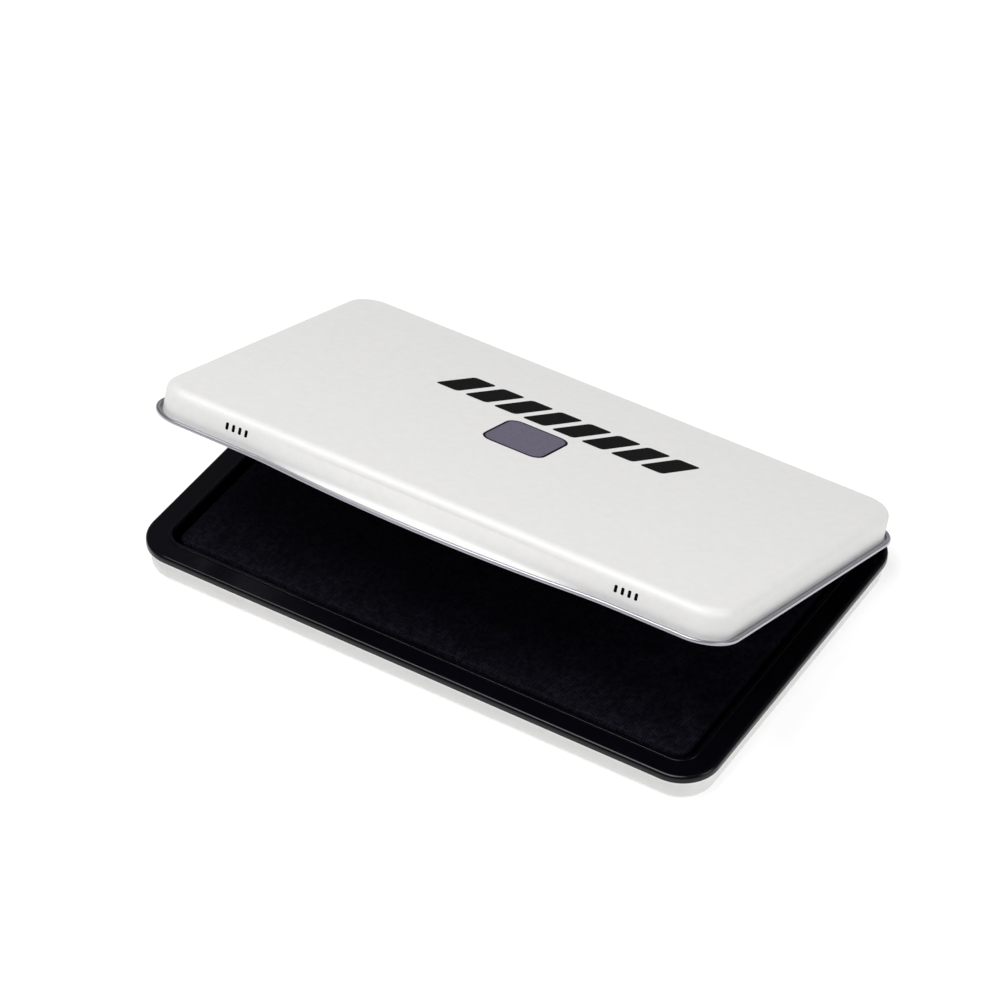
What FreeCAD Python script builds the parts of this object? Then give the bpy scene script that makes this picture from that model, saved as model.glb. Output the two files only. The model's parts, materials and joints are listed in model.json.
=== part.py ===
import FreeCAD, Part
import math
import os
import Sketcher

# Hinged tin stamp pad. Millimetres. The origin is the centre of the flat underside, +X runs along
# the long side, -Y is the front with the thumb lip, +Y is the hinge side and +Z is up. The lid's
# pieces are drawn closed and then turned about the hinge axis by the opening angle.

SIZES = {
    # the shared outline of both rims
    "case_length": 120.0,
    "case_width": 76.5,
    "case_corner": 7.5,
    # lower case: a steel pan with a thin outward flange that carries the black tray
    "base_wall_inset": 0.9,
    "base_wall_height": 5.0,
    "base_fold": 1.3,
    "sheet": 0.35,
    # black tray: a moulded frame with a well for the pad
    "tray_rim_height": 1.4,
    "tray_wall": 0.9,
    "tray_edge_round": 0.65,
    "bead_width": 0.9,
    "bead_height": 0.2,
    "bead_round": 0.15,
    "tray_lip_round": 0.45,
    "well_length": 110.0,
    "well_width": 67.0,
    "well_corner": 3.0,
    "well_floor": 1.7,
    # the pad itself: board, felt and cloth, standing clear of the well's walls all round
    "pad_gap": 1.3,
    "pad_drop": 0.5,
    "pad_corner": 2.2,
    "pad_edge_round": 0.8,
    "cloth": 0.5,
    "board": 1.0,
    # lid: a painted steel cover standing in the curled edge of a bright steel liner
    "lid_gap": 0.15,
    "lid_height": 6.1,
    "lid_wall_inset": 1.3,
    "lid_fold": 1.7,
    "liner_sheet": 0.3,
    "liner_clearance": 0.05,
    "curl_height": 0.75,
    "curl_width": 0.75,
    "curl_round": 0.28,
    # thumb lip: the front foot of the lid swings out in one long arc with a soft start
    "lip_reach": 2.45,
    "lip_half_width": 40.0,
    "lip_start_radius": 80.0,
    "lip_height": 4.0,
    "lip_flare": 0.25,
    "lip_lean": 0.65,
    "lip_least": 0.05,
    # hinges
    "hinge_offset": 1.45,
    "hinge_spread": 38.0,
    "knuckle_radius": 1.2,
    "pin_radius": 0.6,
    "pin_fit": 0.02,
    "pin_running": 0.05,
    "knuckle_length": 5.6,
    "knuckle_gap": 0.2,
    "leaf_length": 14.0,
    "leaf_sheet": 0.4,
    "leaf_foot": 1.7,
    "leaf_clear": 0.2,
    "base_leaf_step": 0.7,
    "lid_leaf_step": 0.8,
    "pin_stand_out": 0.3,
    "pin_chamfer": 0.15,
    "opening_angle": 21.0,
}

SHEET = "Sizes"


def size(name):
    return "%s.%s" % (SHEET, name)


# ---- expressions used by more than one piece -------------------------------------------------

HALF_LENGTH = size("case_length") + " / 2"
HALF_WIDTH = size("case_width") + " / 2"
TRAY_TOP = size("base_wall_height") + " + " + size("tray_rim_height")
BEAD_TOP = TRAY_TOP + " + " + size("bead_height")
HINGE_Z = TRAY_TOP + " + " + size("lid_gap")
HINGE_Y = HALF_WIDTH + " + " + size("hinge_offset")
PAD_TOP = TRAY_TOP + " - " + size("pad_drop")
LID_TOP = HINGE_Z + " + " + size("lid_height")
LINER_INSET = " + ".join([size("lid_wall_inset"), size("sheet"), size("liner_clearance")])


def make_sheet(doc):
    """The driving dimensions, one named cell each."""
    sheet = doc.addObject("Spreadsheet::Sheet", SHEET)
    for row, (name, value) in enumerate(SIZES.items(), start=1):
        sheet.set("A%d" % row, name)
        sheet.set("B%d" % row, str(value))
        sheet.setAlias("B%d" % row, name)
    doc.recompute()
    return sheet


def number(owner, expression):
    """The present value of an expression, for starting positions."""
    value = owner.evalExpression(expression)
    return float(getattr(value, "Value", value))


def bind(target, path, expression):
    target.setExpression(path, expression)


# ---- sketch helpers --------------------------------------------------------------------------

def new_body(doc, label):
    body = doc.addObject("PartDesign::Body", label)
    body.Label = label
    return body


def new_sketch(body, name, plane="XY_Plane", height=None):
    """A sketch on one of the body's own origin planes, raised by height."""
    sketch = body.newObject("Sketcher::SketchObject", name)
    origin = [f for f in body.Origin.OriginFeatures if f.Role == plane][0]
    sketch.AttachmentSupport = [(origin, "")]
    sketch.MapMode = "FlatFace"
    if height:
        bind(sketch, "AttachmentOffset.Base.z", height)
    return sketch


def named(sketch, label, expression, *constraint):
    """Add a dimension, give it a name and bind it to the sheet."""
    value = abs(number(sketch, expression))
    index = sketch.addConstraint(Sketcher.Constraint(*constraint, value))
    sketch.renameConstraint(index, label)
    bind(sketch, "Constraints." + label, expression)


def sketch_line(sketch, x1, y1, x2, y2):
    start, end = FreeCAD.Vector(x1, y1, 0), FreeCAD.Vector(x2, y2, 0)
    return sketch.addGeometry(Part.LineSegment(start, end), False)


def sketch_arc(sketch, x, y, radius, first, last):
    circle = Part.Circle(FreeCAD.Vector(x, y, 0), FreeCAD.Vector(0, 0, 1), radius)
    curve = Part.ArcOfCircle(circle, math.radians(first), math.radians(last))
    return sketch.addGeometry(curve, False)


def join(sketch, first, first_end, second, second_end, kind="Tangent"):
    sketch.addConstraint(Sketcher.Constraint(kind, first, first_end, second, second_end))


def swinging_front(sketch, tag, half_width, inset, reach):
    """The lip's front curve: a soft start, one long arc outwards, and the same again mirrored.
    It is the curve of that reach on the rim's outline, moved inwards by an inset. The two ends
    lie at the lip's half width, on the straight front at half_width."""
    chord = size("lip_half_width")
    bend = "(%s ^ 2 + (%s) ^ 2) / (2 * (%s)) - %s" % (chord, reach, reach, size("lip_start_radius"))
    swing = "%s - (%s)" % (bend, inset)
    start = "%s + (%s)" % (size("lip_start_radius"), inset)
    centre = "%s - (%s) - (%s)" % (swing, half_width, reach)
    w, hw = number(sketch, chord), number(sketch, half_width)
    swing_r, start_r = number(sketch, swing), number(sketch, start)
    turn = math.degrees(math.asin(w / (swing_r + start_r)))
    left = sketch_arc(sketch, -w, -hw - start_r, start_r, 90 - turn, 90)
    middle = sketch_arc(sketch, 0, number(sketch, centre), swing_r, 270 - turn, 270 + turn)
    right = sketch_arc(sketch, w, -hw - start_r, start_r, 90, 90 + turn)
    join(sketch, left, 1, middle, 1)
    join(sketch, middle, 2, right, 2)
    sketch.addConstraint(Sketcher.Constraint("Equal", left, right))
    sketch.addConstraint(Sketcher.Constraint("PointOnObject", middle, 3, -2))
    named(sketch, tag + "_start", start, "Radius", left)
    named(sketch, tag + "_swing", swing, "Radius", middle)
    named(sketch, tag + "_centre", centre, "DistanceY", -1, 1, middle, 3)
    return left, right


def outline(sketch, tag, half_length, half_width, corner, lip_inset=None):
    """A rounded rectangle about the origin. With lip_inset, its front side swings out into the
    thumb lip, as the rim's own outline moved inwards by that much."""
    hl = number(sketch, half_length)
    hw = number(sketch, half_width)
    r = number(sketch, corner)
    corners = [(hl - r, -hw + r, 270), (hl - r, hw - r, 0), (-hl + r, hw - r, 90),
               (-hl + r, -hw + r, 180)]
    arcs = [sketch_arc(sketch, x, y, r, angle, angle + 90) for x, y, angle in corners]
    right = sketch_line(sketch, hl, -hw + r, hl, hw - r)
    back = sketch_line(sketch, hl - r, hw, -hl + r, hw)
    left = sketch_line(sketch, -hl, hw - r, -hl, -hw + r)
    if lip_inset is None:
        front_left = front_right = sketch_line(sketch, -hl + r, -hw, hl - r, -hw)
    else:
        chord = number(sketch, size("lip_half_width"))
        lip_left, lip_right = swinging_front(sketch, tag, half_width, lip_inset, size("lip_reach"))
        front_left = sketch_line(sketch, -hl + r, -hw, -chord, -hw)
        front_right = sketch_line(sketch, chord, -hw, hl - r, -hw)
        join(sketch, front_left, 2, lip_left, 2)
        join(sketch, lip_right, 1, front_right, 1)
        sketch.addConstraint(Sketcher.Constraint("Horizontal", front_right))
        named(sketch, tag + "_front_too", half_width, "DistanceY", front_right, 1, -1, 1)
    join(sketch, front_right, 2, arcs[0], 1)
    join(sketch, arcs[0], 2, right, 1)
    join(sketch, right, 2, arcs[1], 1)
    join(sketch, arcs[1], 2, back, 1)
    join(sketch, back, 2, arcs[2], 1)
    join(sketch, arcs[2], 2, left, 1)
    join(sketch, left, 2, arcs[3], 1)
    join(sketch, arcs[3], 2, front_left, 1)
    for level in (front_left, back):
        sketch.addConstraint(Sketcher.Constraint("Horizontal", level))
    for upright in (left, right):
        sketch.addConstraint(Sketcher.Constraint("Vertical", upright))
    for other in arcs[1:]:
        sketch.addConstraint(Sketcher.Constraint("Equal", arcs[0], other))
    named(sketch, tag + "_corner", corner, "Radius", arcs[0])
    named(sketch, tag + "_right", half_length, "DistanceX", -1, 1, right, 1)
    named(sketch, tag + "_left", half_length, "DistanceX", left, 1, -1, 1)
    named(sketch, tag + "_front", half_width, "DistanceY", front_left, 1, -1, 1)
    named(sketch, tag + "_back", half_width, "DistanceY", -1, 1, back, 1)


def rim_outline(sketch, tag, inset, lip=False):
    """The case's shared outline moved inwards by an inset."""
    outline(sketch, tag, "%s - (%s)" % (HALF_LENGTH, inset), "%s - (%s)" % (HALF_WIDTH, inset),
            "%s - (%s)" % (size("case_corner"), inset), inset if lip else None)


def well_outline(sketch, tag, inset, corner):
    """The well's outline moved inwards by an inset."""
    outline(sketch, tag, "%s / 2 - (%s)" % (size("well_length"), inset),
            "%s / 2 - (%s)" % (size("well_width"), inset), corner)


def polygon(sketch, corners):
    """A closed polygon; every corner is a pair of expressions measured from the sketch's origin."""
    points = [(number(sketch, a), number(sketch, b)) for a, b in corners]
    count = len(points)
    lines = []
    for i in range(count):
        start = FreeCAD.Vector(points[i][0], points[i][1], 0)
        end = FreeCAD.Vector(points[(i + 1) % count][0], points[(i + 1) % count][1], 0)
        lines.append(sketch.addGeometry(Part.LineSegment(start, end), False))
    for i in range(count):
        following = lines[(i + 1) % count]
        sketch.addConstraint(Sketcher.Constraint("Coincident", lines[i], 2, following, 1))
    for i, (a, b) in enumerate(corners):
        place(sketch, "p%d" % i, lines[i], 1, a, b)


def place(sketch, tag, geometry, end, across, along):
    """Hold one point at two signed distances from the sketch's origin."""
    for axis, text in (("X", across), ("Y", along)):
        label = "%s_%s" % (tag, axis.lower())
        if number(sketch, text) >= 0:
            named(sketch, label, text, "Distance" + axis, -1, 1, geometry, end)
        else:
            named(sketch, label, "-(%s)" % text, "Distance" + axis, geometry, end, -1, 1)


# ---- feature helpers -------------------------------------------------------------------------

def add(body, kind, name, sketch, length, reverse=False, midplane=False):
    """A Pad or Pocket; its volume change is checked, because a wrong direction shows no error."""
    doc = body.Document
    doc.recompute()
    before = body.Shape.Volume if body.Tip else 0.0
    feature = body.newObject("PartDesign::" + kind, name)
    feature.Profile = sketch
    feature.Reversed = reverse
    feature.Midplane = midplane
    bind(feature, "Length", length)
    sketch.Visibility = False
    doc.recompute()
    change = body.Shape.Volume - before
    if (change <= 1e-6) if kind == "Pad" else (change >= -1e-6):
        raise RuntimeError("%s %s changed nothing" % (body.Label, name))
    return feature


def loop_at(shape, height, rank=0):
    """Names of the edges of one closed loop at a height; rank 0 is the outermost loop there."""
    flat = [w for w in shape.Wires
            if w.BoundBox.ZLength < 1e-4 and abs(w.BoundBox.ZMin - height) < 1e-4]
    widths = sorted({round(w.BoundBox.XLength, 3) for w in flat}, reverse=True)
    loop = [w for w in flat if round(w.BoundBox.XLength, 3) == widths[rank]][0]
    return ["Edge%d" % (i + 1) for i, edge in enumerate(shape.Edges)
            if any(edge.isSame(other) for other in loop.Edges)]


def round_loop(body, name, height, radius, rank=0):
    """Round one closed loop of edges."""
    base = body.Tip
    fillet = body.newObject("PartDesign::Fillet", name)
    fillet.Base = (base, loop_at(base.Shape, number(body, height), rank))
    bind(fillet, "Radius", radius)
    body.Document.recompute()
    return fillet


# ---- lower case ------------------------------------------------------------------------------

def make_base_cover(doc):
    """White steel pan with a rounded foot and a thin outward flange at its top."""
    body = new_body(doc, "base_cover")
    wall = new_sketch(body, "wall_outline")
    rim_outline(wall, "wall", size("base_wall_inset"))
    add(body, "Pad", "wall", wall, size("base_wall_height"))

    inside = size("base_wall_inset") + " + " + size("sheet")
    hollow = new_sketch(body, "hollow_outline", height=size("base_wall_height"))
    rim_outline(hollow, "hollow", inside)
    add(body, "Pocket", "hollow", hollow, size("base_wall_height") + " - " + size("sheet"))
    round_loop(body, "inner_fold", size("sheet"), size("base_fold") + " - " + size("sheet"))
    round_loop(body, "fold", "0", size("base_fold"))

    flange = new_sketch(body, "flange_outline",
                        height=size("base_wall_height") + " - " + size("sheet"))
    rim_outline(flange, "edge", "0")
    rim_outline(flange, "root", inside)
    add(body, "Pad", "flange", flange, size("sheet"))
    return body


def make_pad_tray(doc):
    """Black moulded frame: a rim that laps the case's flange, and a well that holds the pad,
    with a low bead round its mouth."""
    body = new_body(doc, "pad_tray")
    rim = new_sketch(body, "rim_outline", height=size("base_wall_height"))
    rim_outline(rim, "rim", "0")
    add(body, "Pad", "rim", rim, size("tray_rim_height"))
    round_loop(body, "rim_edge", TRAY_TOP, size("tray_edge_round"))

    under = new_sketch(body, "under_outline", height=size("base_wall_height"))
    rim_outline(under, "under", size("tray_wall"))
    add(body, "Pocket", "under", under, size("tray_rim_height") + " - " + size("tray_wall"),
        reverse=True)

    well = new_sketch(body, "well_outside", height=TRAY_TOP)
    well_outline(well, "well", "-" + size("tray_wall"),
                 size("well_corner") + " + " + size("tray_wall"))
    depth = "%s - (%s - %s)" % (TRAY_TOP, size("well_floor"), size("tray_wall"))
    add(body, "Pad", "well", well, depth, reverse=True)

    bead = new_sketch(body, "bead_outline", height=TRAY_TOP)
    well_outline(bead, "bead", "-" + size("bead_width"),
                 size("well_corner") + " + " + size("bead_width"))
    add(body, "Pad", "bead", bead, size("bead_height"))

    mouth = new_sketch(body, "well_inside", height=BEAD_TOP)
    well_outline(mouth, "mouth", "0", size("well_corner"))
    add(body, "Pocket", "mouth", mouth, BEAD_TOP + " - " + size("well_floor"))
    round_loop(body, "mouth_edge", BEAD_TOP, size("tray_lip_round"), rank=1)
    round_loop(body, "bead_edge", BEAD_TOP, size("bead_round"))
    return body


def make_backing_board(doc):
    """Stiff board under the felt."""
    body = new_body(doc, "backing_board")
    board = new_sketch(body, "board_outline", height=size("well_floor"))
    inset = size("pad_gap") + " + " + size("cloth")
    well_outline(board, "board", inset, size("pad_corner") + " - " + size("cloth"))
    add(body, "Pad", "board", board, size("board"))
    return body


def make_felt_pad(doc):
    """Felt block that holds the ink."""
    body = new_body(doc, "felt_pad")
    bottom = size("well_floor") + " + " + size("board")
    top = PAD_TOP + " - " + size("cloth")
    felt = new_sketch(body, "felt_outline", height=bottom)
    inset = size("pad_gap") + " + " + size("cloth")
    well_outline(felt, "felt", inset, size("pad_corner") + " - " + size("cloth"))
    add(body, "Pad", "felt", felt, "%s - (%s)" % (top, bottom))
    round_loop(body, "felt_edge", top, size("pad_edge_round") + " - " + size("cloth"))
    return body


def make_pad_cloth(doc):
    """Woven cover drawn over the felt and down its sides to the well's floor."""
    body = new_body(doc, "pad_cloth")
    cover = new_sketch(body, "cloth_outline", height=size("well_floor"))
    well_outline(cover, "cloth", size("pad_gap"), size("pad_corner"))
    tall = "%s - %s" % (PAD_TOP, size("well_floor"))
    add(body, "Pad", "cloth", cover, tall)
    round_loop(body, "cloth_edge", PAD_TOP, size("pad_edge_round"))

    inside = new_sketch(body, "cloth_inside", height=size("well_floor"))
    well_outline(inside, "inside", size("pad_gap") + " + " + size("cloth"),
                 size("pad_corner") + " - " + size("cloth"))
    add(body, "Pocket", "inside", inside, tall + " - " + size("cloth"), reverse=True)
    round_loop(body, "inside_edge", PAD_TOP + " - " + size("cloth"),
               size("pad_edge_round") + " - " + size("cloth"))
    return body


# ---- lid -------------------------------------------------------------------------------------

def lip_reach_at(level):
    """How far the lip stands out at a level, which is 0 at its foot and 1 where it leaves the
    wall: the wall leans out evenly, and its lowest part also flares out to the rim."""
    lean, flare = size("lip_lean"), size("lip_flare")
    share = "%s * %.4f" % (lean, 1 - level)
    if level < SIZES["lip_flare"]:
        share += " + (1 - %s) * (1 - %.4f / %s) ^ 2" % (lean, level, flare)
    return "%s * (%s) + %s" % (size("lip_reach"), share, size("lip_least"))


def lip_thickness_at(level):
    """The sheet measured level, which grows as the lip turns outwards."""
    lean, flare = size("lip_lean"), size("lip_flare")
    slope = lean
    if level < SIZES["lip_flare"]:
        slope += " + 2 * (1 - %s) * (1 - %.4f / %s) / %s" % (lean, level, flare, flare)
    return "%s * sqrt(1 + ((%s) * %s / %s) ^ 2)" % (
        size("sheet"), slope, size("lip_reach"), size("lip_height"))


def lip_section(body, name, level, inwards="0"):
    """Level cross-section of the lip: its front curve, closed by a straight back one sheet
    behind it. Inwards moves the whole section back."""
    height = "%s + %s + %s * %.4f" % (HINGE_Z, size("liner_sheet"), size("lip_height"), level)
    sketch = new_sketch(body, name, height=height)
    half_width = "%s - %s - %s" % (HALF_WIDTH, size("lid_wall_inset"), inwards)
    back = "%s - %s" % (half_width, size("sheet"))
    left, right = swinging_front(sketch, "front", half_width, size("lid_wall_inset"),
                                 lip_reach_at(level))
    w, near, far = (number(sketch, text) for text in (size("lip_half_width"), half_width, back))
    side_right = sketch_line(sketch, w, -near, w, -far)
    rear = sketch_line(sketch, w, -far, -w, -far)
    side_left = sketch_line(sketch, -w, -far, -w, -near)
    join(sketch, right, 1, side_right, 1, "Coincident")
    join(sketch, side_right, 2, rear, 1, "Coincident")
    join(sketch, rear, 2, side_left, 1, "Coincident")
    join(sketch, side_left, 2, left, 2, "Coincident")
    for curve, end in ((left, 2), (right, 1)):
        sketch.addConstraint(Sketcher.Constraint("Vertical", curve, end, curve, 3))
    for side in (side_left, side_right):
        sketch.addConstraint(Sketcher.Constraint("Vertical", side))
    named(sketch, "near_right", half_width, "DistanceY", right, 1, -1, 1)
    named(sketch, "near_left", half_width, "DistanceY", left, 2, -1, 1)
    named(sketch, "far_right", back, "DistanceY", rear, 1, -1, 1)
    named(sketch, "far_left", back, "DistanceY", rear, 2, -1, 1)
    return sketch


def loft(body, kind, name, sections, ruled):
    """Join level sections into one solid, added or taken away."""
    doc = body.Document
    before = body.Shape.Volume
    feature = body.newObject("PartDesign::" + kind, name)
    feature.Profile = sections[0]
    feature.Sections = sections[1:]
    feature.Ruled = ruled
    doc.recompute()
    change = body.Shape.Volume - before
    if (change <= 1e-3) if kind == "AdditiveLoft" else (change >= -1e-3):
        raise RuntimeError("%s %s changed nothing" % (body.Label, name))
    return feature


def lip_levels():
    """Levels of the lip's sections: four up the flare, and three more up the leaning wall."""
    flare = SIZES["lip_flare"]
    wall = 1 - flare
    return [flare * i / 3 for i in range(4)] + [flare + wall * i / 3 for i in range(1, 4)]


def make_lid_cover(doc):
    """White steel cover: a flat top with a soft fold, and walls whose front foot flares out."""
    body = new_body(doc, "lid_cover")
    foot = "%s + %s" % (HINGE_Z, size("liner_sheet"))
    wall = new_sketch(body, "wall_outline", height=foot)
    rim_outline(wall, "wall", size("lid_wall_inset"))
    tall = "%s - %s" % (size("lid_height"), size("liner_sheet"))
    add(body, "Pad", "wall", wall, tall)
    lip = [lip_section(body, "lip_level_%d" % i, level) for i, level in enumerate(lip_levels())]
    loft(body, "AdditiveLoft", "lip", lip, ruled=False)

    hollow = new_sketch(body, "hollow_outline", height=foot)
    rim_outline(hollow, "hollow", size("lid_wall_inset") + " + " + size("sheet"))
    add(body, "Pocket", "hollow", hollow, tall + " - " + size("sheet"), reverse=True)
    round_loop(body, "inner_fold", LID_TOP + " - " + size("sheet"),
               size("lid_fold") + " - " + size("sheet"))
    inside = [lip_section(body, "lip_inside_%d" % i, level, lip_thickness_at(level))
              for i, level in enumerate(lip_levels())]
    loft(body, "SubtractiveLoft", "lip_inside", inside, ruled=False)
    round_loop(body, "fold", LID_TOP, size("lid_fold"))
    return body


def make_lid_liner(doc):
    """Bright steel liner: a pan inside the cover, whose edge turns out and curls up round the
    cover's foot as the lid's shiny rim."""
    body = new_body(doc, "lid_liner")
    rim = new_sketch(body, "rim_outline", height=HINGE_Z)
    rim_outline(rim, "rim", "0", lip=True)
    add(body, "Pad", "rim", rim, size("curl_height"))
    round_loop(body, "curl_top", "%s + %s" % (HINGE_Z, size("curl_height")), size("curl_round"))
    round_loop(body, "curl_foot", HINGE_Z, size("curl_round"))

    seat = new_sketch(body, "seat_outline", height="%s + %s" % (HINGE_Z, size("curl_height")))
    rim_outline(seat, "seat", size("curl_width"), lip=True)
    add(body, "Pocket", "seat", seat, size("curl_height") + " - " + size("liner_sheet"))
    round_loop(body, "curl_inside", "%s + %s" % (HINGE_Z, size("curl_height")),
               size("curl_round"), rank=1)

    pan_height = "%s - %s - %s" % (size("lid_height"), size("sheet"), size("liner_clearance"))
    pan = new_sketch(body, "pan_outline", height=HINGE_Z)
    rim_outline(pan, "pan", LINER_INSET)
    add(body, "Pad", "pan", pan, pan_height)

    hollow = new_sketch(body, "hollow_outline", height=HINGE_Z)
    rim_outline(hollow, "hollow", LINER_INSET + " + " + size("liner_sheet"))
    add(body, "Pocket", "hollow", hollow, pan_height + " - " + size("liner_sheet"), reverse=True)
    round_loop(body, "hollow_fold", "%s + %s - %s" % (HINGE_Z, pan_height, size("liner_sheet")),
               "%s - %s - %s" % (size("lid_fold"), size("sheet"), size("liner_sheet")))
    round_loop(body, "pan_fold", "%s + %s" % (HINGE_Z, pan_height),
               size("lid_fold") + " - " + size("sheet"))
    return body


# ---- hinges ----------------------------------------------------------------------------------

LEAF_Y = HINGE_Y + " - " + size("knuckle_radius")
LEAF_OUT = LEAF_Y + " + " + size("leaf_sheet")


def knuckle_sketch(body, bore):
    """Rolled barrel round the pin."""
    sketch = new_sketch(body, "knuckle_section", "YZ_Plane")
    centre = FreeCAD.Vector(number(sketch, HINGE_Y), number(sketch, HINGE_Z), 0)
    for tag, radius in (("barrel", size("knuckle_radius")), ("bore", bore)):
        circle = Part.Circle(centre, FreeCAD.Vector(0, 0, 1), number(sketch, radius))
        index = sketch.addGeometry(circle, False)
        place(sketch, tag, index, 3, HINGE_Y, HINGE_Z)
        named(sketch, tag, radius, "Radius", index)
    return sketch


def make_base_leaf(doc, label):
    """Leaf on the lower case's back wall, stepping out past the rim to two end knuckles."""
    body = new_body(doc, label)
    wall_y = "%s - %s" % (HALF_WIDTH, size("base_wall_inset"))
    wall_out = wall_y + " + " + size("leaf_sheet")
    flange_z = "%s - %s" % (size("base_wall_height"), size("sheet"))
    bend_z = "%s - %s" % (flange_z, size("leaf_clear"))
    step_z = "%s - %s" % (bend_z, size("base_leaf_step"))
    half_sheet = size("leaf_sheet") + " / 2"
    strip = new_sketch(body, "strip_section", "YZ_Plane")
    polygon(strip, [
        (LEAF_Y, HINGE_Z),
        (LEAF_Y, bend_z),
        (wall_y, step_z),
        (wall_y, size("leaf_foot")),
        (wall_out, size("leaf_foot")),
        (wall_out, step_z + " - " + half_sheet),
        (LEAF_OUT, bend_z + " - " + half_sheet),
        (LEAF_OUT, HINGE_Z),
    ])
    add(body, "Pad", "strip", strip, size("leaf_length"), midplane=True)
    bore = size("pin_radius") + " + " + size("pin_fit")
    add(body, "Pad", "knuckles", knuckle_sketch(body, bore), size("leaf_length"), midplane=True)

    notch = new_sketch(body, "notch_section", "YZ_Plane")
    low = "%s - %s - %s" % (HINGE_Z, size("knuckle_radius"), size("knuckle_gap"))
    high = "%s + 2 * %s" % (HINGE_Z, size("knuckle_radius"))
    far = "%s + 2 * %s" % (HINGE_Y, size("knuckle_radius"))
    near = "%s - %s" % (LEAF_Y, size("knuckle_gap"))
    polygon(notch, [(near, low), (far, low), (far, high), (near, high)])
    add(body, "Pocket", "notch", notch,
        size("knuckle_length") + " + 2 * " + size("knuckle_gap"), midplane=True)
    return body


def make_lid_leaf(doc, label):
    """Leaf on the lid's back wall, stepping out over the curled rim to the middle knuckle."""
    body = new_body(doc, label)
    wall_y = "%s - %s" % (HALF_WIDTH, size("lid_wall_inset"))
    wall_out = wall_y + " + " + size("leaf_sheet")
    curl_z = "%s + %s" % (HINGE_Z, size("curl_height"))
    bend_z = "%s + %s" % (curl_z, size("leaf_clear"))
    step_z = "%s + %s" % (bend_z, size("lid_leaf_step"))
    half_sheet = size("leaf_sheet") + " / 2"
    plate_z = "%s + %s" % (step_z, half_sheet)
    neck_top = "%s + %s + %s" % (plate_z, size("leaf_sheet"), size("leaf_clear"))
    neck = new_sketch(body, "neck_section", "YZ_Plane")
    polygon(neck, [
        (LEAF_Y, HINGE_Z),
        (LEAF_OUT, HINGE_Z),
        (LEAF_OUT, bend_z + " + " + half_sheet),
        (wall_out, plate_z),
        (wall_out, neck_top),
        (wall_y, neck_top),
        (wall_y, step_z),
        (LEAF_Y, bend_z),
    ])
    add(body, "Pad", "neck", neck, size("knuckle_length"), midplane=True)
    bore = size("pin_radius") + " + " + size("pin_running")
    add(body, "Pad", "knuckle", knuckle_sketch(body, bore), size("knuckle_length"), midplane=True)

    plate = new_sketch(body, "plate_section", "YZ_Plane")
    top = "%s - %s" % (LID_TOP, size("lid_fold"))
    polygon(plate, [
        (wall_y, plate_z),
        (wall_out, plate_z),
        (wall_out, top),
        (wall_y, top),
    ])
    add(body, "Pad", "plate", plate, size("leaf_length"), midplane=True)
    return body


def make_hinge_pin(doc, label):
    """Straight steel pin with chamfered ends, held in the lower leaf's knuckles."""
    body = new_body(doc, label)
    section = new_sketch(body, "pin_section", "YZ_Plane")
    centre = FreeCAD.Vector(number(section, HINGE_Y), number(section, HINGE_Z), 0)
    circle = Part.Circle(centre, FreeCAD.Vector(0, 0, 1), number(section, size("pin_radius")))
    index = section.addGeometry(circle, False)
    place(section, "pin", index, 3, HINGE_Y, HINGE_Z)
    named(section, "pin", size("pin_radius"), "Radius", index)
    shank_length = "%s + 2 * %s" % (size("leaf_length"), size("pin_stand_out"))
    shank = add(body, "Pad", "shank", section, shank_length, midplane=True)
    ends = ["Edge%d" % (i + 1) for i, edge in enumerate(shank.Shape.Edges)
            if edge.BoundBox.XLength < 1e-4]
    chamfer = body.newObject("PartDesign::Chamfer", "ends")
    chamfer.Base = (shank, ends)
    bind(chamfer, "Size", size("pin_chamfer"))
    doc.recompute()
    return body


# ---- assembly --------------------------------------------------------------------------------

def build():
    doc = FreeCAD.newDocument("stamp_pad")
    sheet = make_sheet(doc)
    spread = number(sheet, "hinge_spread")
    fixed = [make_base_cover(doc), make_pad_tray(doc), make_backing_board(doc),
             make_felt_pad(doc), make_pad_cloth(doc)]
    lid = [make_lid_cover(doc), make_lid_liner(doc)]
    for side, x in (("left", -spread), ("right", spread)):
        for maker, name, group in ((make_base_leaf, "base_hinge_leaf", fixed),
                                   (make_hinge_pin, "hinge_pin", fixed),
                                   (make_lid_leaf, "lid_hinge_leaf", lid)):
            piece = maker(doc, "%s_%s" % (name, side))
            piece.Placement = FreeCAD.Placement(FreeCAD.Vector(x, 0, 0), FreeCAD.Rotation())
            group.append(piece)

    axis_y, axis_z = number(fixed[0], HINGE_Y), number(fixed[0], HINGE_Z)
    opened = FreeCAD.Placement(
        FreeCAD.Vector(0, 0, 0),
        FreeCAD.Rotation(FreeCAD.Vector(-1, 0, 0), number(fixed[0], size("opening_angle"))),
        FreeCAD.Vector(0, axis_y, axis_z))
    for piece in lid:
        piece.Placement = opened.multiply(piece.Placement)
    doc.recompute()
    return doc, fixed + lid


def export(doc, pieces):
    for thing in doc.Objects:
        bad = [state for state in thing.State if state in ("Invalid", "Error")]
        if bad:
            raise RuntimeError("%s is %s" % (thing.Label, bad))
    for piece in pieces:
        if piece.Shape.isNull() or not piece.Shape.isValid() or len(piece.Shape.Solids) != 1:
            raise RuntimeError("%s is not one valid solid" % piece.Label)
    os.makedirs("parts", exist_ok=True)
    for piece in pieces:
        piece.Shape.exportStep("parts/%s.step" % piece.Label)
        print("%-22s %9.1f mm3" % (piece.Label, piece.Shape.Volume))


document, parts = build()
export(document, parts)
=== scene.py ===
import json
import math

import bmesh
import bpy
from mathutils import Matrix, Vector, noise
from mathutils.bvhtree import BVHTree


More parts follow.
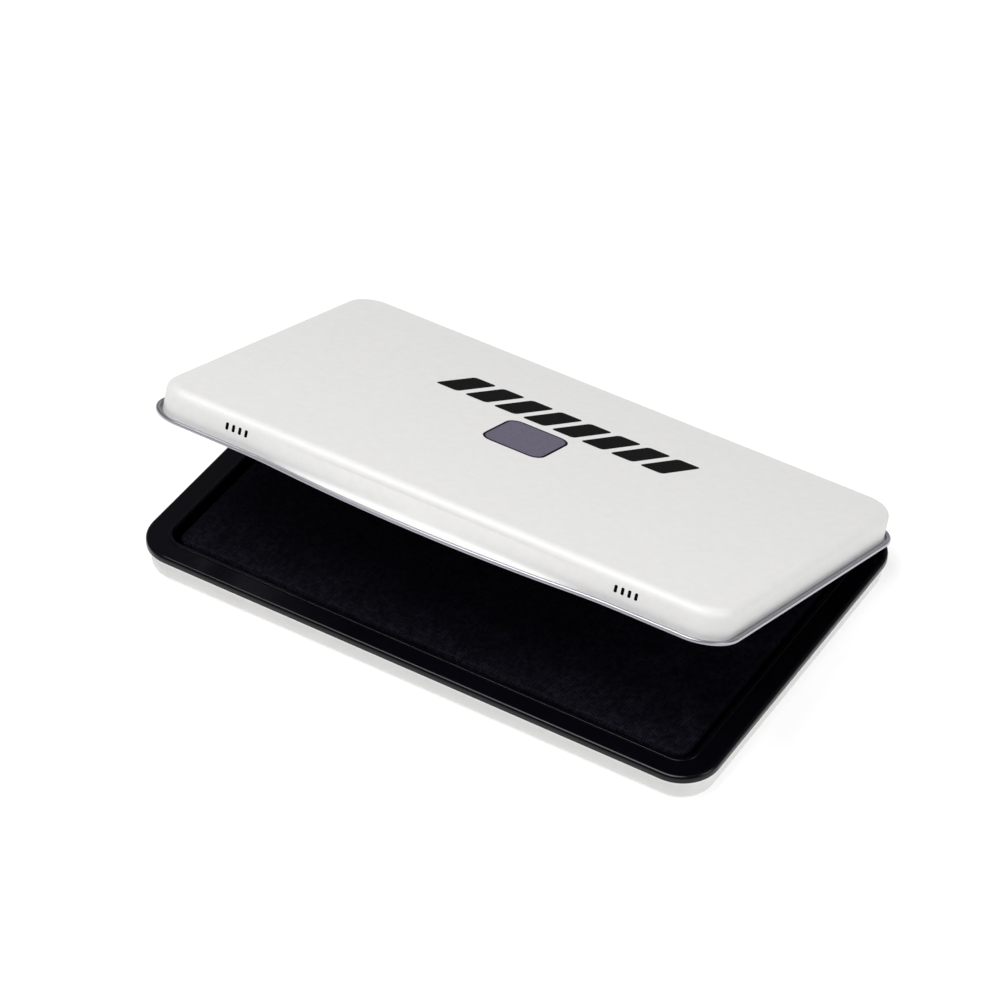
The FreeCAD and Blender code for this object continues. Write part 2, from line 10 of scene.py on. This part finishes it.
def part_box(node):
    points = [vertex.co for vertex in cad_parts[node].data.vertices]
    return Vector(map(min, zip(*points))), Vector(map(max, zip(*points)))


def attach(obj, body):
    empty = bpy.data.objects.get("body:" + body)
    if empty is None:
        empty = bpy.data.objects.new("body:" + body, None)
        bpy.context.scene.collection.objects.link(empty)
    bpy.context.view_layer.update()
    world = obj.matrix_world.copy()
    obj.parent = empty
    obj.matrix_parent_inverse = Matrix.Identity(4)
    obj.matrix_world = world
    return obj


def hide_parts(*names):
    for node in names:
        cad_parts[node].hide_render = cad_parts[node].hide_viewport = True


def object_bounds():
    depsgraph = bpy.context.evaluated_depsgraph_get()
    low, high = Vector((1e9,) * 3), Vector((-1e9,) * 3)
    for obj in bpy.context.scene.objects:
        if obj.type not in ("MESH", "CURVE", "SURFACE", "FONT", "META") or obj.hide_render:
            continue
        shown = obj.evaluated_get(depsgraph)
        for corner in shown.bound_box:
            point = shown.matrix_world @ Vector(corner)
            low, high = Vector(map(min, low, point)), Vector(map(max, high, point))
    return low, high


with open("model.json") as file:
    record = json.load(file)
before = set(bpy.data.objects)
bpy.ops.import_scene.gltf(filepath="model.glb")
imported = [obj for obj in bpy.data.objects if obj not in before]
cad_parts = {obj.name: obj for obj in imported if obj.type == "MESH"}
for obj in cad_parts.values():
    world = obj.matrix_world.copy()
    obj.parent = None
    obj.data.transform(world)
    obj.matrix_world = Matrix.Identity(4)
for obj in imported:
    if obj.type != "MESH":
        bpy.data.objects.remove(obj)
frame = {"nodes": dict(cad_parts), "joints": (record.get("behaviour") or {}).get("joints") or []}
cad_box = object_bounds()

# A hinged tin stamp pad, lid held half open. Metres; lengths that read better in millimetres are
# multiplied by MM. The front with the thumb lip faces -Y, the hinges are at +Y.
MM = 0.001
HINGE = [joint for joint in frame["joints"] if joint["name"] == "lid_hinge"][0]
HINGE_POINT = Vector(HINGE["pos_m"])
LID_CLOSED_DEG = HINGE["range_deg"][0]

# Print, placed on the closed lid: a band of bars across the top, a patch with a border in front of
# it, and a group of ticks near each end of the front wall. Slant is a shift in x for each metre of y.
# Each rounded corner has ROUND_STEPS segments, and the print is cast on the lid from OUTSIDE it.
FILM = 0.02 * MM
BAND_START, BAND_Y, BAND_HEIGHT, BAND_SLANT = -24.5 * MM, 14 * MM, 9 * MM, 0.4
BAR_COUNT, BAR_WIDTH, BAR_GAP, BAR_ROUND = 8, 4.75 * MM, 1.5 * MM, 0.7 * MM
PATCH_CENTRE = (-2 * MM, 1 * MM)
PATCH_SIZE, PATCH_ROUND, BORDER_SIZE, BORDER_ROUND = 12 * MM, 2 * MM, 12.9 * MM, 2.4 * MM
TICK_STARTS, TICK_Z, TICK_COUNT, TICK_PITCH = (-42.5 * MM, 38.0 * MM), 9.9 * MM, 4, 1.35 * MM
TICK_WIDTH, TICK_HEIGHT, TICK_ROUND = 0.6 * MM, 1.4 * MM, 0.25 * MM
ROUND_STEPS = 6
OUTSIDE = 100 * MM

# The pad's cloth: its crown and waves, the border that follows its rounded outline, the shoulder it
# rolls over, how far its sides draw in at the foot, and its mesh cells and loops.
PAD_CROWN, PAD_WAVE, PAD_WAVE_LENGTH = 0.22 * MM, 0.05 * MM, 11 * MM
PAD_BORDER, PAD_BORDER_LOOPS = 4 * MM, (2.6 * MM, 1.7 * MM)
PAD_SHOULDER, PAD_CORNER, PAD_LEAST_CORNER, PAD_DRAW_IN = 0.85 * MM, 2.2 * MM, 0.9 * MM, 0.18 * MM
CELLS_X, CELLS_Y, CELLS_CORNER, SHOULDER_STEPS, SIDE_STEPS = 84, 50, 6, 6, 4

# Colours, linear: the two shades that each material varies between. A bare metal has one colour,
# and patches that are dulled to a share of it.
ENAMEL = (0.815, 0.812, 0.795), (0.850, 0.846, 0.832)
BLACK_PLASTIC = (0.0010, 0.0008, 0.0020), (0.0020, 0.0016, 0.0038)
INKED_CLOTH = (0.0005, 0.0003, 0.0012), (0.0220, 0.0185, 0.0350)
INKED_FELT = (0.010, 0.009, 0.014), (0.022, 0.019, 0.030)
GREY_BOARD = (0.30, 0.28, 0.25), (0.42, 0.40, 0.36)
BLACK_PRINT = (0.0012, 0.0012, 0.0012), (0.0030, 0.0030, 0.0032)
VIOLET_PRINT = (0.120, 0.108, 0.152), (0.165, 0.151, 0.202)
TINPLATE, PLATED_STEEL, DRAWN_WIRE = (0.46, 0.45, 0.49), (0.62, 0.62, 0.64), (0.5, 0.5, 0.52)
DULLED = 0.96

# Distance between the cloth's threads.
THREAD_PITCH = 0.55 * MM

# A Mix node has a set of sockets for each kind of value; these are the ones that mix colours.
MIX_FACTOR, MIX_FIRST, MIX_SECOND, MIX_RESULT = 0, 6, 7, 2

# Floor: half its side, how far it is below the case, and its grey and glow. Lamps: name, place,
# width, height and power, each facing the tin. The room is the dim light from all round.
FLOOR_HALF, FLOOR_DROP, FLOOR_GREY, FLOOR_GLOW = 12, 0.01 * MM, 0.55, 0.60
LAMPS = (("key", (-0.10, -0.20, 0.78), 0.6, 0.45, 6.0),
         ("right_fill", (0.8, 0.10, 0.45), 0.4, 0.4, 1.9))
LAMP_TARGET = (0, 0, 0.02)
ROOM_COLOUR, ROOM_STRENGTH = (0.96, 0.95, 1.0), 0.16

# Camera: direction and roll in degrees, lens in millimetres, and its place along its own right, up
# and back directions, from the middle of the case's top, in lengths of the case.
VIEW_AZIMUTH, VIEW_ELEVATION, VIEW_ROLL, LENS, SENSOR = 30.80, 41.59, 0.925, 165.4, 36.0
CAMERA_PLACE = (-0.0257, 0.0718, 7.052)


# ---- node helpers ----------------------------------------------------------------------------

def new_material(name):
    """An empty node material with its Principled shader: (material, shader)."""
    material = bpy.data.materials.new(name)
    material.use_nodes = True
    return material, material.node_tree.nodes["Principled BSDF"]


def add(material, kind, **values):
    """A node with its inputs set; an input is given by name, with spaces as underscores."""
    node = material.node_tree.nodes.new(kind)
    for key, value in values.items():
        if hasattr(node, key):
            setattr(node, key, value)
        else:
            node.inputs[key.replace("_", " ")].default_value = value
    return node


def link(material, source, target):
    """Join one node's output to another's input."""
    material.node_tree.links.new(source, target)


def place_texture(material):
    """Coordinates in the piece's own space, in metres."""
    return add(material, "ShaderNodeTexCoord").outputs["Object"]


def noise_texture(material, where, size, detail=3.0, roughness=0.5):
    """Noise whose features are about size metres across."""
    node = add(material, "ShaderNodeTexNoise", Scale=1 / size, Detail=detail, Roughness=roughness)
    link(material, where, node.inputs["Vector"])
    return node.outputs["Fac"]


def remap(material, value, low, high, from_low=0.3, from_high=0.7):
    """Noise gathers about its middle, so its middle range is stretched to low..high."""
    node = add(material, "ShaderNodeMapRange")
    for name, number in (("From Min", from_low), ("From Max", from_high),
                         ("To Min", low), ("To Max", high)):
        node.inputs[name].default_value = number
    link(material, value, node.inputs["Value"])
    return node.outputs["Result"]


def mix_colours(material, factor, shades):
    """A colour between two shades, the first where the factor is 0."""
    node = add(material, "ShaderNodeMix", data_type="RGBA")
    node.inputs[MIX_FIRST].default_value = (*shades[0], 1)
    node.inputs[MIX_SECOND].default_value = (*shades[1], 1)
    link(material, factor, node.inputs[MIX_FACTOR])
    return node.outputs[MIX_RESULT]


def bump(material, shader, height, strength, distance):
    """Raise the surface by a height of 0 to 1 times the distance, in metres."""
    node = add(material, "ShaderNodeBump", Strength=strength, Distance=distance)
    link(material, height, node.inputs["Height"])
    link(material, node.outputs["Normal"], shader.inputs["Normal"])


# ---- materials -------------------------------------------------------------------------------

def make_white_enamel():
    """Stoved pearl-white enamel on sheet steel: satin, faintly mottled, with orange peel."""
    material, shader = new_material("white_enamel")
    shader.inputs["Specular IOR Level"].default_value = 0.5
    shader.inputs["Coat Weight"].default_value = 0.15
    shader.inputs["Coat Roughness"].default_value = 0.40
    where = place_texture(material)
    mottle = noise_texture(material, where, 1.6 * MM, detail=5, roughness=0.6)
    link(material, mix_colours(material, remap(material, mottle, 0, 1), ENAMEL),
         shader.inputs["Base Color"])
    haze = noise_texture(material, where, 9 * MM)
    link(material, remap(material, haze, 0.40, 0.50), shader.inputs["Roughness"])
    peel = noise_texture(material, where, 0.7 * MM, detail=2)
    bump(material, shader, peel, 0.05, 0.03 * MM)
    return material


def make_black_plastic():
    """Moulded black plastic, glossy with a very slight violet cast, faint moulding ripple."""
    material, shader = new_material("black_plastic")
    shader.inputs["Specular IOR Level"].default_value = 0.24
    where = place_texture(material)
    cast = noise_texture(material, where, 14 * MM)
    link(material, mix_colours(material, remap(material, cast, 0, 1), BLACK_PLASTIC),
         shader.inputs["Base Color"])
    smear = noise_texture(material, where, 5 * MM, detail=5)
    link(material, remap(material, smear, 0.14, 0.22), shader.inputs["Roughness"])
    ripple = noise_texture(material, where, 1.6 * MM, detail=2)
    bump(material, shader, ripple, 0.12, 0.04 * MM)
    return material


def make_bright_steel(name, colour, roughness, grain):
    """Bare rolled sheet: fine drawn grain along the length, and dulled patches from handling."""
    material, shader = new_material(name)
    shader.inputs["Metallic"].default_value = 1.0
    where = place_texture(material)
    stretched = add(material, "ShaderNodeMapping")
    stretched.inputs["Scale"].default_value = (0.06, 1, 1)
    link(material, where, stretched.inputs["Vector"])
    lines = noise_texture(material, stretched.outputs["Vector"], 0.12 * MM, detail=3)
    dull = noise_texture(material, where, 7 * MM, detail=4)
    shades = tuple(DULLED * part for part in colour), colour
    link(material, mix_colours(material, remap(material, dull, 0, 1), shades),
         shader.inputs["Base Color"])
    link(material, remap(material, dull, roughness * 0.95, roughness * 1.08),
         shader.inputs["Roughness"])
    bump(material, shader, lines, grain, 0.01 * MM)
    return material


def make_inked_cloth():
    """Fine plain weave, soaked with black ink: violet-black threads, drier and wetter patches.
    A wave texture's bands lie pi / 10 / scale apart."""
    material, shader = new_material("inked_cloth")
    shader.inputs["Specular IOR Level"].default_value = 0.05
    where = place_texture(material)
    threads = []
    for direction in ("X", "Y"):
        wave = add(material, "ShaderNodeTexWave", wave_type="BANDS", bands_direction=direction,
                   Scale=math.pi / 10 / THREAD_PITCH, Distortion=2.6, Detail=3.0)
        wave.inputs["Detail Scale"].default_value = 1.2
        link(material, where, wave.inputs["Vector"])
        threads.append(wave.outputs["Fac"])
    weave = add(material, "ShaderNodeMath", operation="MULTIPLY")
    link(material, threads[0], weave.inputs[0])
    link(material, threads[1], weave.inputs[1])
    slub = noise_texture(material, where, 0.8 * MM, detail=4, roughness=0.6)
    rough_weave = add(material, "ShaderNodeMath", operation="ADD")
    link(material, weave.outputs[0], rough_weave.inputs[0])
    link(material, remap(material, slub, 0, 1), rough_weave.inputs[1])
    wet = noise_texture(material, where, 6 * MM, detail=5, roughness=0.6)
    patches = add(material, "ShaderNodeMath", operation="MULTIPLY")
    link(material, remap(material, wet, 0.30, 1), patches.inputs[0])
    link(material, remap(material, rough_weave.outputs[0], 0.0, 1, 0.30, 1.70), patches.inputs[1])
    link(material, mix_colours(material, patches.outputs[0], INKED_CLOTH),
         shader.inputs["Base Color"])
    link(material, remap(material, wet, 0.50, 0.75), shader.inputs["Roughness"])
    bump(material, shader, rough_weave.outputs[0], 0.5, 0.10 * MM)
    return material


def make_felt():
    """Matted fibres, dark with ink."""
    material, shader = new_material("inked_felt")
    shader.inputs["Roughness"].default_value = 0.95
    where = place_texture(material)
    fibres = noise_texture(material, where, 0.5 * MM, detail=6, roughness=0.7)
    link(material, mix_colours(material, fibres, INKED_FELT), shader.inputs["Base Color"])
    bump(material, shader, fibres, 0.6, 0.2 * MM)
    return material


def make_board():
    """Grey board with coarse pulp."""
    material, shader = new_material("grey_board")
    shader.inputs["Roughness"].default_value = 0.9
    where = place_texture(material)
    pulp = noise_texture(material, where, 0.8 * MM, detail=5)
    link(material, mix_colours(material, pulp, GREY_BOARD), shader.inputs["Base Color"])
    bump(material, shader, pulp, 0.3, 0.05 * MM)
    return material


def make_print(name, shades):
    """Screen-printed ink film: nearly matt, with a fine grain in the colour."""
    material, shader = new_material(name)
    shader.inputs["Specular IOR Level"].default_value = 0.02
    where = place_texture(material)
    grain = noise_texture(material, where, 0.35 * MM, detail=2)
    link(material, mix_colours(material, remap(material, grain, 0, 1), shades),
         shader.inputs["Base Color"])
    link(material, remap(material, grain, 0.42, 0.55), shader.inputs["Roughness"])
    return material


def give(material, *nodes):
    """Put one material on whole CAD nodes."""
    for name in nodes:
        mesh = frame["nodes"][name].data
        mesh.materials.clear()
        mesh.materials.append(material)


# ---- inked pad -------------------------------------------------------------------------------

def rounded_loop(half_x, half_y, radius, along_x, along_y, along_corner):
    """Points of a rounded rectangle, counterclockwise from the right end of the front side.
    Every loop has the same number of points, so loops of any size join up."""
    points = []
    inner_x, inner_y = half_x - radius, half_y - radius
    corners = ((inner_x, -inner_y, -90), (inner_x, inner_y, 0),
               (-inner_x, inner_y, 90), (-inner_x, -inner_y, 180))
    for index, (x, y, first) in enumerate(corners):
        for step in range(along_corner + 1):
            angle = math.radians(first + 90 * step / along_corner)
            points.append((x + radius * math.cos(angle), y + radius * math.sin(angle)))
        next_x, next_y, next_first = corners[(index + 1) % 4]
        start = points[-1]
        angle = math.radians(next_first)
        end = (next_x + radius * math.cos(angle), next_y + radius * math.sin(angle))
        count = along_y if index % 2 == 0 else along_x
        for step in range(1, count):
            share = step / count
            points.append((start[0] + (end[0] - start[0]) * share,
                           start[1] + (end[1] - start[1]) * share))
    return points


def cloth_height(x, y, half_x, half_y):
    """Crown of the stretched cloth, with the slight waviness of the felt below it."""
    crown = PAD_CROWN * (1 - (x / half_x) ** 2) * (1 - (y / half_y) ** 2)
    waves = PAD_WAVE * noise.noise(Vector((x / PAD_WAVE_LENGTH, y / PAD_WAVE_LENGTH, 0.3)))
    inside = min(half_x - abs(x), half_y - abs(y)) / PAD_BORDER
    return crown + waves * min(1.0, inside)


def make_pad(material):
    """The cloth-covered pad: crowned top, soft shoulders, and sides that draw in at the foot."""
    low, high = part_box("pad_cloth")
    half_x, half_y = (high.x - low.x) / 2, (high.y - low.y) / 2
    grid_x, grid_y = half_x - PAD_BORDER, half_y - PAD_BORDER
    built = bmesh.new()

    def vertex(x, y, z):
        return built.verts.new((x, y, z))

    def top(x, y):
        return high.z + cloth_height(x, y, half_x, half_y)

    rows = []
    for j in range(CELLS_Y + 1):
        y = -grid_y + 2 * grid_y * j / CELLS_Y
        across = [-grid_x + 2 * grid_x * i / CELLS_X for i in range(CELLS_X + 1)]
        rows.append([vertex(x, y, top(x, y)) for x in across])
    for j in range(CELLS_Y):
        for i in range(CELLS_X):
            built.faces.new((rows[j][i], rows[j][i + 1], rows[j + 1][i + 1], rows[j + 1][i]))

    # the grid's edge in the order of a rounded loop, each corner standing for a whole round
    fan = CELLS_CORNER + 1
    border = ([rows[0][CELLS_X]] * fan + [rows[j][CELLS_X] for j in range(1, CELLS_Y)]
              + [rows[CELLS_Y][CELLS_X]] * fan
              + [rows[CELLS_Y][i] for i in range(CELLS_X - 1, 0, -1)]
              + [rows[CELLS_Y][0]] * fan + [rows[j][0] for j in range(CELLS_Y - 1, 0, -1)]
              + [rows[0][0]] * fan + [rows[0][i] for i in range(1, CELLS_X)])

    # from the border down to the foot, as insets and heights; no height means on the crown
    profile = [(inset, None) for inset in (*PAD_BORDER_LOOPS, PAD_SHOULDER)]
    for step in range(1, SHOULDER_STEPS + 1):
        angle = math.radians(90 * step / SHOULDER_STEPS)
        profile.append((PAD_SHOULDER * (1 - math.sin(angle)),
                        high.z - PAD_SHOULDER * (1 - math.cos(angle))))
    side_top = profile[-1][1]
    for step in range(1, SIDE_STEPS + 1):
        share = step / SIDE_STEPS
        profile.append((PAD_DRAW_IN * math.sin(share * math.pi / 2),
                        side_top - (side_top - low.z) * share))
    previous = border
    for inset, z in profile:
        radius = max(PAD_CORNER - inset, PAD_LEAST_CORNER)
        points = rounded_loop(half_x - inset, half_y - inset, radius, CELLS_X, CELLS_Y, CELLS_CORNER)
        on_crown = z is None or z > high.z - PAD_SHOULDER
        loop = []
        for x, y in points:
            lift = max(cloth_height(x, y, half_x, half_y), 0) if on_crown else 0
            loop.append(vertex(x, y, (high.z if z is None else z) + lift))
        count = len(loop)
        for k in range(count):
            a, b = previous[k], previous[(k + 1) % count]
            c, d = loop[(k + 1) % count], loop[k]
            built.faces.new((a, d, c) if a is b else (a, d, c, b))
        previous = loop
    built.faces.new(list(reversed(previous)))
    bmesh.ops.recalc_face_normals(built, faces=built.faces)
    return finish_mesh("pad_cover", built, material)


def finish_mesh(name, built, material, smooth=True):
    """A bmesh as a new object with one material."""
    mesh = bpy.data.meshes.new(name)
    built.to_mesh(mesh)
    built.free()
    mesh.materials.append(material)
    for polygon in mesh.polygons:
        polygon.use_smooth = smooth
    piece = bpy.data.objects.new(name, mesh)
    bpy.context.scene.collection.objects.link(piece)
    return piece


# ---- print on the lid ------------------------------------------------------------------------

def hinge_turn(degrees):
    """Matrix that turns the lid about its hinge from rest."""
    return (Matrix.Translation(HINGE_POINT)
            @ Matrix.Rotation(math.radians(degrees), 4, Vector(HINGE["axis"]))
            @ Matrix.Translation(-HINGE_POINT))


def closed_lid():
    """The lid cover's surface as it is when closed, for laying print on."""
    turn = hinge_turn(LID_CLOSED_DEG)
    mesh = frame["nodes"]["lid_cover"].data
    return BVHTree.FromPolygons([turn @ vertex.co for vertex in mesh.vertices],
                                [polygon.vertices for polygon in mesh.polygons])


def film(name, outlines, surface, onto, material, thickness=FILM):
    """Thin printed shapes, laid on the closed lid and turned with it to rest. Onto is "top", where an
    outline gives x and y, or "front", where it gives x and z. Each shape is a closed solid that is
    sunk in the lid by FILM."""
    built = bmesh.new()
    for outline in outlines:
        foot, head = [], []
        for x, other in outline:
            if onto == "top":
                start, down = Vector((x, other, OUTSIDE)), Vector((0, 0, -1))
            else:
                start, down = Vector((x, -OUTSIDE, other)), Vector((0, 1, 0))
            point = surface.ray_cast(start, down)[0]
            foot.append(built.verts.new(point + down * FILM))
            head.append(built.verts.new(point - down * thickness))
        count = len(outline)
        built.faces.new(list(reversed(foot)))
        built.faces.new(head)
        for k in range(count):
            built.faces.new((foot[k], foot[(k + 1) % count], head[(k + 1) % count], head[k]))
    bmesh.ops.recalc_face_normals(built, faces=built.faces)
    piece = finish_mesh(name, built, material, smooth=False)
    piece.data.transform(hinge_turn(-LID_CLOSED_DEG))
    return piece


def pill(centre_x, centre_y, width, height, radius, slant=0.0):
    """Outline of a rounded bar, leaning by the slant."""
    points = rounded_loop(width / 2, height / 2, radius, 1, 1, ROUND_STEPS)
    return [(x + centre_x + slant * y, y + centre_y) for x, y in points]


def make_prints(surface):
    """Plain marks where such a lid carries its print. The patch is a film twice as thick, so that it
    covers the middle of its border."""
    black = make_print("black_print", BLACK_PRINT)
    violet = make_print("violet_print", VIOLET_PRINT)
    bars = []
    for index in range(BAR_COUNT):
        centre = BAND_START + BAR_WIDTH / 2 + index * (BAR_WIDTH + BAR_GAP)
        bars.append(pill(centre, BAND_Y, BAR_WIDTH, BAND_HEIGHT, BAR_ROUND, BAND_SLANT))
    ticks = [pill(start + step * TICK_PITCH, TICK_Z, TICK_WIDTH, TICK_HEIGHT, TICK_ROUND)
             for start in TICK_STARTS for step in range(TICK_COUNT)]
    border = pill(*PATCH_CENTRE, BORDER_SIZE, BORDER_SIZE, BORDER_ROUND)
    patch = pill(*PATCH_CENTRE, PATCH_SIZE, PATCH_SIZE, PATCH_ROUND)
    return [
        film("print_band", bars, surface, "top", black),
        film("print_border", [border], surface, "top", black),
        film("print_ticks", ticks, surface, "front", black),
        film("print_patch", [patch], surface, "top", violet, 2 * FILM),
    ]


# ---- set -------------------------------------------------------------------------------------

def make_floor():
    """A wide pale floor just under the case, lit a little from within so that it reads as white."""
    material, shader = new_material("pale_floor")
    shader.inputs["Base Color"].default_value = (FLOOR_GREY, FLOOR_GREY, FLOOR_GREY, 1)
    shader.inputs["Roughness"].default_value = 0.9
    shader.inputs["Specular IOR Level"].default_value = 0.0
    shader.inputs["Emission Color"].default_value = (1, 1, 1, 1)
    shader.inputs["Emission Strength"].default_value = FLOOR_GLOW
    built = bmesh.new()
    bmesh.ops.create_grid(built, x_segments=1, y_segments=1, size=FLOOR_HALF)
    floor = finish_mesh("floor", built, material)
    floor.location.z = cad_box[0].z - FLOOR_DROP


def soft_light(name, place, width, height, power):
    """A rectangular lamp at place, facing the tin."""
    data = bpy.data.lights.new(name, "AREA")
    data.shape, data.size, data.size_y, data.energy = "RECTANGLE", width, height, power
    lamp = bpy.data.objects.new(name, data)
    lamp.location = place
    lamp.rotation_euler = (Vector(LAMP_TARGET) - Vector(place)).to_track_quat("-Z", "Y").to_euler()
    bpy.context.scene.collection.objects.link(lamp)


def make_lights():
    """A dim room, a large soft lamp above the front left, and a weaker one to the right."""
    world = bpy.data.worlds.new("studio")
    bpy.context.scene.world = world
    world.use_nodes = True
    room = world.node_tree.nodes["Background"]
    room.inputs["Color"].default_value = (*ROOM_COLOUR, 1)
    room.inputs["Strength"].default_value = ROOM_STRENGTH
    for lamp in LAMPS:
        soft_light(*lamp)


def make_camera():
    """Long lens, from the front and a little to the right, looking well down on the lid."""
    azimuth, elevation = math.radians(VIEW_AZIMUTH), math.radians(VIEW_ELEVATION)
    length = cad_box[1].x - cad_box[0].x
    right = Vector((math.cos(azimuth), math.sin(azimuth), 0))
    back = Vector((math.sin(azimuth) * math.cos(elevation),
                   -math.cos(azimuth) * math.cos(elevation), math.sin(elevation)))
    up = back.cross(right)
    data = bpy.data.cameras.new("camera")
    data.sensor_width, data.lens = SENSOR, LENS
    data.clip_start, data.clip_end = 0.01, 20
    camera = bpy.data.objects.new("camera", data)
    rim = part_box("base_cover")[1].z
    roll = Matrix.Rotation(math.radians(VIEW_ROLL), 3, "Z")
    turn = Matrix((right, up, back)).transposed() @ roll
    camera.location = Vector((0, 0, rim)) + turn @ (length * Vector(CAMERA_PLACE))
    camera.rotation_euler = turn.to_euler()
    bpy.context.scene.collection.objects.link(camera)
    bpy.context.scene.camera = camera
    bpy.context.scene.view_settings.view_transform = "Standard"


# ---- assembly --------------------------------------------------------------------------------

give(make_white_enamel(), "base_cover", "lid_cover")
give(make_black_plastic(), "pad_tray")
give(make_bright_steel("bright_tinplate", TINPLATE, 0.34, 0.03), "lid_liner")
give(make_bright_steel("plated_steel", PLATED_STEEL, 0.25, 0.4),
     "base_hinge_leaf_left", "base_hinge_leaf_right", "lid_hinge_leaf_left", "lid_hinge_leaf_right")
give(make_bright_steel("drawn_wire", DRAWN_WIRE, 0.22, 0.4),
     "hinge_pin_left", "hinge_pin_right")
give(make_felt(), "felt_pad")
give(make_board(), "backing_board")

pad = make_pad(make_inked_cloth())
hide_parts("pad_cloth")
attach(pad, "case")

for piece in make_prints(closed_lid()):
    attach(piece, "lid")

make_floor()
make_lights()
make_camera()
